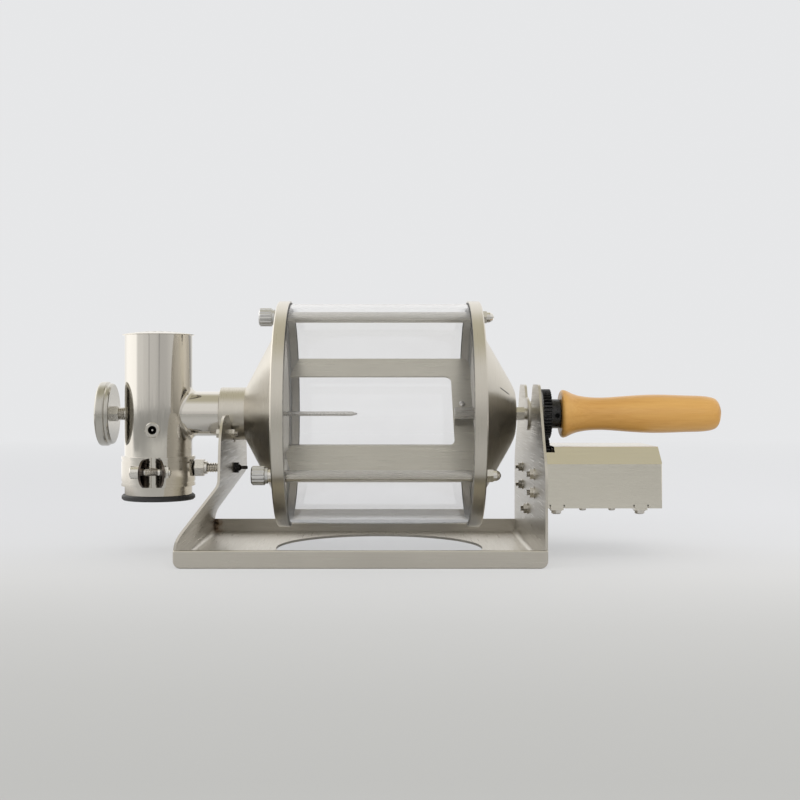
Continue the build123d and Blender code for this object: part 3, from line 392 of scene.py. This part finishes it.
STEEL = (0.60, 0.57, 0.51)          # satin stainless sheet
COVER_STEEL = (0.76, 0.728, 0.65)
AGITATOR_STEEL = (0.62, 0.585, 0.49)
DIAL_STEEL = (0.50, 0.485, 0.445)
POLISHED = (0.62, 0.597, 0.555)
BRIGHT = (0.66, 0.64, 0.60)         # fasteners
BRONZE = (0.55, 0.36, 0.16)
BRUSHED_ALONG_X = (25, 1400, 1400)
BRUSHED_ALONG_Y = (1100, 18, 1100)
STAIN_CORNER = (-0.1845, 0.108)     # x and y of the tray's back left corner
JACK_HEIGHT = 0.103
SEAM = ((0.0718, 0.1389), (0.0820, 0.1323))     # x and z of the ends of the right cone's dark seam


def darker(colour, share):
    return tuple(share * part for part in colour)


def brushed_steel(name, scale, colour=STEEL, roughness=0.33, tint=None, depth=0.00003):
    """Satin sheet with fine straight brushing; scale is small along the brushing.

    tint takes the surface and its tone and gives the tone with a stain in it."""
    surface = Surface(name, colour, 1.0, roughness)
    grain = surface.noise(surface.place(scale), detail=4)
    clouds = surface.marks(9, 2)
    tone = surface.ramp(clouds, [(0.3, darker(colour, 0.92)), (0.7, colour)])
    streaks = surface.maths("MULTIPLY", surface.spread(grain, 0.0, 1.0, 0.30, 0.72), 0.16)
    tone = surface.mix(streaks, tone, darker(colour, 0.55))
    if tint:
        tone = tint(surface, tone)
    surface.colour(tone)
    surface.rough(surface.spread(grain, roughness - 0.08, roughness + 0.08, 0.3, 0.7))
    surface.bump(grain, depth)
    return surface.material


def weld_stain(surface, tone):
    """Dark and brown heat tint on sheet round the tray's back left corner."""
    away = surface.distance(("X", STAIN_CORNER[0]), ("Y", STAIN_CORNER[1]))
    low = surface.spread(surface.where("Z"), 1.0, 0.0, 0.014, 0.020)
    patch = surface.marks(260, 3)
    reach = surface.maths("ADD", away, surface.spread(patch, -0.003, 0.003, 0.3, 0.7))
    brown = surface.maths("MULTIPLY", surface.spread(reach, 0.9, 0.0, 0.002, 0.012), low)
    black = surface.maths("MULTIPLY", surface.spread(reach, 0.95, 0.0, 0.001, 0.0045), low)
    tone = surface.mix(brown, tone, (0.20, 0.115, 0.055))
    return surface.mix(black, tone, (0.012, 0.010, 0.009))


def turned_steel(name, along, height, colour=STEEL, roughness=0.32, stretch=0.0, shade=None):
    """Satin steel brushed in rings round an axis; stretch draws its highlights out across the rings.

    shade takes the surface and its tone and gives the tone with dark places in it."""
    surface = Surface(name, colour, 1.0, roughness)
    grain = surface.noise(surface.round_axis(along, height, 2500, 2500, 1.2), detail=3)
    clouds = surface.marks(14, 2)
    tone = surface.ramp(clouds, [(0.3, darker(colour, 0.9)), (0.7, colour)])
    if shade:
        tone = shade(surface, tone)
    surface.colour(tone)
    surface.rough(surface.spread(grain, roughness - 0.06, roughness + 0.06, 0.3, 0.7))
    if stretch:
        rings = surface.add("ShaderNodeTangent", direction_type="RADIAL", axis=along)
        surface.join(rings.outputs[0], surface.shader.inputs["Tangent"])
        surface.set("Anisotropic", stretch)
        surface.set("Anisotropic Rotation", 0.25)
    surface.bump(grain, 0.000012)
    return surface.material


def cone_seam(surface, colour):
    """A short dark seam on the near side of the right cone."""
    start, end = SEAM
    length = math.dist(start, end)
    run, rise = (end[0] - start[0]) / length, (end[1] - start[1]) / length
    right = surface.maths("SUBTRACT", surface.where("X"), start[0])
    up = surface.maths("SUBTRACT", surface.where("Z"), start[1])
    along = surface.maths("ADD", surface.maths("MULTIPLY", right, run),
                          surface.maths("MULTIPLY", up, rise))
    off = surface.maths("SUBTRACT", surface.maths("MULTIPLY", right, rise),
                        surface.maths("MULTIPLY", up, run))
    thin = surface.spread(surface.maths("ABSOLUTE", off, 0), 1.0, 0.0, 0.00022, 0.0006)
    within = surface.maths("ABSOLUTE", surface.maths("SUBTRACT", along, length / 2), 0)
    within = surface.spread(within, 1.0, 0.0, length / 2 - 0.002, length / 2)
    near = surface.spread(surface.where("Y"), 1.0, 0.0, -0.012, -0.008)
    share = surface.maths("MULTIPLY", surface.maths("MULTIPLY", thin, within), near)
    return surface.mix(share, colour, (0.02, 0.018, 0.016))


def polished_steel(name, roughness=0.055, shade=None):
    """Mirror steel with faint polishing marks and a slow ripple; shade adds dark places."""
    surface = Surface(name, POLISHED, 1.0, roughness)
    marks = surface.noise(surface.place((900, 900, 30)), detail=3)
    ripple = surface.noise(surface.place((26, 26, 5)), detail=1)
    if shade:
        surface.colour(shade(surface, POLISHED))
    surface.rough(surface.spread(marks, roughness - 0.02, roughness + 0.05, 0.35, 0.7))
    surface.bump(ripple, 0.00016)
    return surface.material


def clamp_ears(surface, colour):
    """The clamp's ears see each other and the bolt, so they are nearly black on this side."""
    out = surface.spread(surface.where("Y"), 1.0, 0.0, -0.0335, -0.0318)
    patch = surface.noise(surface.place((500, 500, 160)), detail=4)
    dark = surface.ramp(patch, [(0.36, (0.035, 0.028, 0.026)), (0.62, (0.15, 0.125, 0.105))])
    return surface.mix(out, colour, dark)


def jack_bore(surface, colour):
    """The inlet's bore is painted black."""
    away = surface.distance(("X", COLLECTOR_X), ("Z", JACK_HEIGHT))
    return surface.mix(surface.spread(away, 1.0, 0.0, 0.0034, 0.0037), colour, (0.004, 0.004, 0.004))


def bright_steel(name, colour=BRIGHT, shade=None):
    """Fasteners: bright, with small handling marks; shade adds dark places."""
    surface = Surface(name, colour, 1.0, 0.22)
    if shade:
        surface.colour(shade(surface, colour))
    marks = surface.marks(700, 4)
    surface.rough(surface.spread(marks, 0.14, 0.34, 0.35, 0.7))
    surface.bump(marks, 0.00003)
    return surface.material


def blackened_tip(surface, colour):
    """The stud's free end is black."""
    tip = surface.spread(surface.where("X"), 0.0, 1.0, -0.1506, -0.1500)
    return surface.mix(tip, colour, (0.03, 0.027, 0.025))


def knurled_alloy(name):
    """Dull alloy with a fine grain."""
    surface = Surface(name, (0.60, 0.60, 0.595), 1.0, 0.42)
    marks = surface.marks(900, 4)
    surface.rough(surface.spread(marks, 0.34, 0.52, 0.35, 0.7))
    surface.bump(marks, 0.00004)
    return surface.material


def black_oxide(name, roughness=0.42):
    """Blackened steel with a little wear."""
    surface = Surface(name, (0.022, 0.022, 0.023), 0.6, roughness)
    marks = surface.marks(400, 5)
    surface.colour(surface.ramp(marks, [(0.35, (0.012, 0.012, 0.013)), (0.7, (0.045, 0.044, 0.043))]))
    surface.rough(surface.spread(marks, roughness - 0.10, roughness + 0.13, 0.3, 0.7))
    surface.bump(marks, 0.00002)
    return surface.material


def beech(name):
    """Lacquered beech: slow lengthwise figure, fine pores and a thin coat."""
    surface = Surface(name, (0.6, 0.35, 0.14), 0.0, 0.35)
    figure = surface.noise(surface.place((5, 60, 60)), detail=4, roughness=0.6)
    pores = surface.noise(surface.place((45, 1300, 1300)), detail=2)
    both = surface.maths("ADD", surface.maths("MULTIPLY", figure, 0.75),
                         surface.maths("MULTIPLY", pores, 0.25))
    surface.colour(surface.ramp(both, [
        (0.30, (0.50, 0.245, 0.052)), (0.45, (0.60, 0.318, 0.080)),
        (0.60, (0.655, 0.368, 0.102)), (0.75, (0.70, 0.42, 0.135))]))
    surface.bump(pores, 0.00003)
    surface.set("Specular IOR Level", 0.35)
    surface.set("Coat Weight", 0.25)
    surface.set("Coat Roughness", 0.15)
    return surface.material


def clear_glass(name):
    """Clear tube glass, a little grey."""
    surface = Surface(name, (0.975, 0.972, 0.97), 0.0, 0.0)
    surface.set("Transmission Weight", 1.0)
    surface.set("IOR", 1.47)
    film = surface.marks(30, 4)
    surface.colour(surface.ramp(film, [(0.3, (0.965, 0.962, 0.96)), (0.7, (0.982, 0.98, 0.978))]))
    return surface.material


def matt_plastic(name, colour, roughness=0.5):
    """One plain colour with a fine grain."""
    surface = Surface(name, colour, 0.0, roughness)
    marks = surface.marks(600, 3)
    surface.rough(surface.spread(marks, roughness - 0.08, roughness + 0.1, 0.3, 0.7))
    surface.bump(marks, 0.00004)
    return surface.material


def paint(nodes, material):
    """Gives CAD nodes one material."""
    for node in nodes:
        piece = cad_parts[node]
        piece.data.materials.clear()
        piece.data.materials.append(material)


def finish_surfaces():
    """Every CAD node gets its finish."""
    paint(["stand"], brushed_steel("stand_sheet", BRUSHED_ALONG_Y, tint=weld_stain))
    paint(["front_rail", "back_rail"], brushed_steel("rail_sheet", BRUSHED_ALONG_X, tint=weld_stain))
    paint(["motor_cover"],
          brushed_steel("cover_sheet", BRUSHED_ALONG_X, COVER_STEEL, 0.19, depth=0.00001))
    paint(["motor_base", "motor_bracket", "gearbox"], brushed_steel("inner_sheet", BRUSHED_ALONG_X))
    paint(["agitator"], brushed_steel("agitator_sheet", BRUSHED_ALONG_X, AGITATOR_STEEL))
    paint(["tie_rods", "hex_shaft"], brushed_steel("rod_steel", BRUSHED_ALONG_X, roughness=0.28))
    paint(["left_cap"], turned_steel("left_cap_steel", "X", AXIS_HEIGHT, stretch=0.75))
    paint(["right_cap"],
          turned_steel("right_cap_steel", "X", AXIS_HEIGHT, stretch=0.75, shade=cone_seam))
    paint(["neck_collar", "shaft_bearing"], turned_steel("collar_steel", "X", AXIS_HEIGHT))
    paint(["collector_tube", "chaff_cup"], polished_steel("polished_tube"))
    paint(["clamp_band"], polished_steel("clamp_strip", 0.09, clamp_ears))
    paint(["fan_jack"], polished_steel("jack_shell", 0.12, jack_bore))
    paint(["dial_case"], turned_steel("dial_shell", "X", AXIS_HEIGHT, DIAL_STEEL, 0.17))
    paint(["collector_lid"], turned_steel("lid_steel", "Z", COLLECTOR_X, roughness=0.16))
    paint(["roller_bolts", "roller_spacers", "roller_nuts", "front_roller", "back_roller", "rod_collars",
           "acorn_nuts", "agitator_screw", "agitator_nut", "motor_shaft", "bracket_screws",
           "cover_screws", "base_screws", "mount_bolts", "mount_nuts", "fan_jack_pin", "clamp_bolt",
           "clamp_nut", "brace_nut", "probe_gland", "probe"], bright_steel("fastener_steel"))
    paint(["brace_stud"], bright_steel("stud_steel", shade=blackened_tip))
    paint(["thumb_nuts"], knurled_alloy("thumb_nut_alloy"))
    paint(["shaft_clip", "brace_lock_nut", "motor_can", "dial_pointer"], black_oxide("black_oxide"))
    paint(["driven_gear", "pinion"], black_oxide("gear_black", 0.26))
    paint(["gear_set_screw"], matt_plastic("socket_black", (0.002, 0.002, 0.002), 0.9))
    paint(["handle_grip"], beech("beech"))
    paint(["handle_bush"], bright_steel("bush_bronze", BRONZE))
    paint(["glass_tube"], clear_glass("drum_glass"))
    paint(["dial_lens"], clear_glass("dial_glass"))
    paint(["glass_gaskets"], matt_plastic("gasket_silicone", (0.7, 0.7, 0.68)))
    paint(["cup_ring"], matt_plastic("ring_rubber", (0.018, 0.018, 0.019), 0.55))
    paint(["fan_frame", "fan_rotor", "motor_jack"],
          matt_plastic("black_plastic", (0.02, 0.02, 0.02), 0.4))
    paint(["dial_plate"], matt_plastic("dial_paint", (0.8, 0.8, 0.78), 0.4))


# ---------------------------------------------------------------- fine pieces

def new_piece(name, vertices, faces, material, body):
    """A mesh piece that moves with a CAD body."""
    mesh = bpy.data.meshes.new(name)
    mesh.from_pydata(vertices, [], faces)
    mesh.update()
    mesh.materials.append(material)
    piece = bpy.data.objects.new(name, mesh)
    bpy.context.scene.collection.objects.link(piece)
    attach(piece, body)


RING_SIDES = 240
# Corners of the beads in millimetres as (x, radius)
LEFT_SHADED_BEAD = [(-101.9, 93.65), (-101.9, 94.9), (-101.3, 94.5), (-101.1, 93.65)]
RIGHT_SHADED_BEAD = [(48.4, 93.65), (47.6, 93.65), (47.8, 94.5), (48.4, 94.9)]


def ring_round_drum(name, outline, material):
    """A ring about the drum axis, of the outline's corners, that turns with the drum."""
    vertices, faces = [], []
    count = len(outline)
    for side in range(RING_SIDES):
        angle = math.tau * side / RING_SIDES
        for x, radius in outline:
            vertices.append((x * MM, radius * MM * math.cos(angle),
                             AXIS_HEIGHT + radius * MM * math.sin(angle)))
        for corner in range(count):
            after = (corner + 1) % count
            here, there = side * count, (side + 1) % RING_SIDES * count
            faces.append((here + corner, there + corner, there + after, here + after))
    new_piece(name, vertices, faces, material, "drum")


def seal_rubber(name):
    """Bead that stands in for the gap between glass and rim: painted shade makes it black at the top of
    the drum, and it is painted paler below, where the gap is lit.
    """
    surface = Surface(name, (0.1, 0.1, 0.1), 0.0, 0.5)
    wear = surface.marks(300, 3)
    # painted shade: black at the top of the drum; below it, a paler painted tone with a random mottle
    high = surface.spread(surface.where("Z"), 0.0, 1.0, 0.140, 0.182)
    pale = surface.ramp(wear, [(0.35, (0.24, 0.225, 0.20)), (0.7, (0.36, 0.34, 0.31))])
    surface.colour(surface.mix(high, pale, (0.012, 0.012, 0.012)))
    surface.bump(wear, 0.00003)
    return surface.material


def make_seals():
    """The thin beads between the glass and the inner edge of each rim, which stand in for the shade of
    the gap there.
    """
    rubber = seal_rubber("bead_painted_shade")
    ring_round_drum("shaded_bead_left", LEFT_SHADED_BEAD, rubber)
    ring_round_drum("shaded_bead_right", RIGHT_SHADED_BEAD, rubber)


DIAL_FACE_X = -0.2572               # just in front of the printed plate
DIAL_NUMBERS = (0, 50, 100, 150, 200, 250, 300)
DIAL_START = 225                    # degrees from the right to the first number, seen from the left
DIAL_SWEEP = 270
TICK_STEP = 10
LONG_TICK = (0.0188, 0.0226, 0.00032)       # inner radius, outer radius, half width
SHORT_TICK = (0.0206, 0.0226, 0.00016)
NUMBER_RADIUS = 0.0152
NUMBER_SIZE = 0.0042


def dial_point(value, radius):
    """Place on the dial's face for a reading, seen from the left."""
    angle = math.radians(DIAL_START - DIAL_SWEEP * value / DIAL_NUMBERS[-1])
    return Vector((DIAL_FACE_X, -radius * math.cos(angle), AXIS_HEIGHT + radius * math.sin(angle)))


def make_dial_ticks(ink):
    vertices, faces = [], []
    for value in range(0, DIAL_NUMBERS[-1] + 1, TICK_STEP):
        inner, outer, half = LONG_TICK if value in DIAL_NUMBERS else SHORT_TICK
        start, end = dial_point(value, inner), dial_point(value, outer)
        across = Vector((1, 0, 0)).cross(end - start).normalized() * half
        first = len(vertices)
        vertices += [start - across, start + across, end + across, end - across]
        faces.append((first, first + 1, first + 2, first + 3))
    new_piece("dial_ticks", vertices, faces, ink, "base")


def make_dial_number(value, ink):
    """A plain number as a flat mesh on the dial's face, read from the left."""
    curve = bpy.data.curves.new(f"number_{value}", "FONT")
    curve.body = str(value)
    curve.size = NUMBER_SIZE
    curve.align_x = "CENTER"
    curve.align_y = "CENTER"
    shape = bpy.data.objects.new(f"number_{value}", curve)
    bpy.context.scene.collection.objects.link(shape)
    bpy.context.view_layer.update()
    solved = shape.evaluated_get(bpy.context.evaluated_depsgraph_get())
    flat = bpy.data.meshes.new_from_object(solved)
    bpy.data.objects.remove(shape)
    name = f"dial_number_{value}"
    flat.name = name
    middle = dial_point(value, NUMBER_RADIUS)
    turn = Matrix(((0, 0, -1), (-1, 0, 0), (0, 1, 0))).to_4x4()
    flat.transform(Matrix.Translation(middle) @ turn)
    flat.materials.clear()
    flat.materials.append(ink)
    piece = bpy.data.objects.new(name, flat)
    bpy.context.scene.collection.objects.link(piece)
    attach(piece, "base")


def make_dial_print():
    """Ticks and plain numbers on the thermometer's face."""
    ink = matt_plastic("dial_ink", (0.015, 0.015, 0.016), 0.6)
    make_dial_ticks(ink)
    for value in DIAL_NUMBERS:
        make_dial_number(value, ink)


bpy.context.scene.view_settings.view_transform = "Standard"
make_camera()
make_world()
make_floor()
for light in LIGHTS:
    area_light(*light)
finish_surfaces()
make_seals()
make_dial_print()
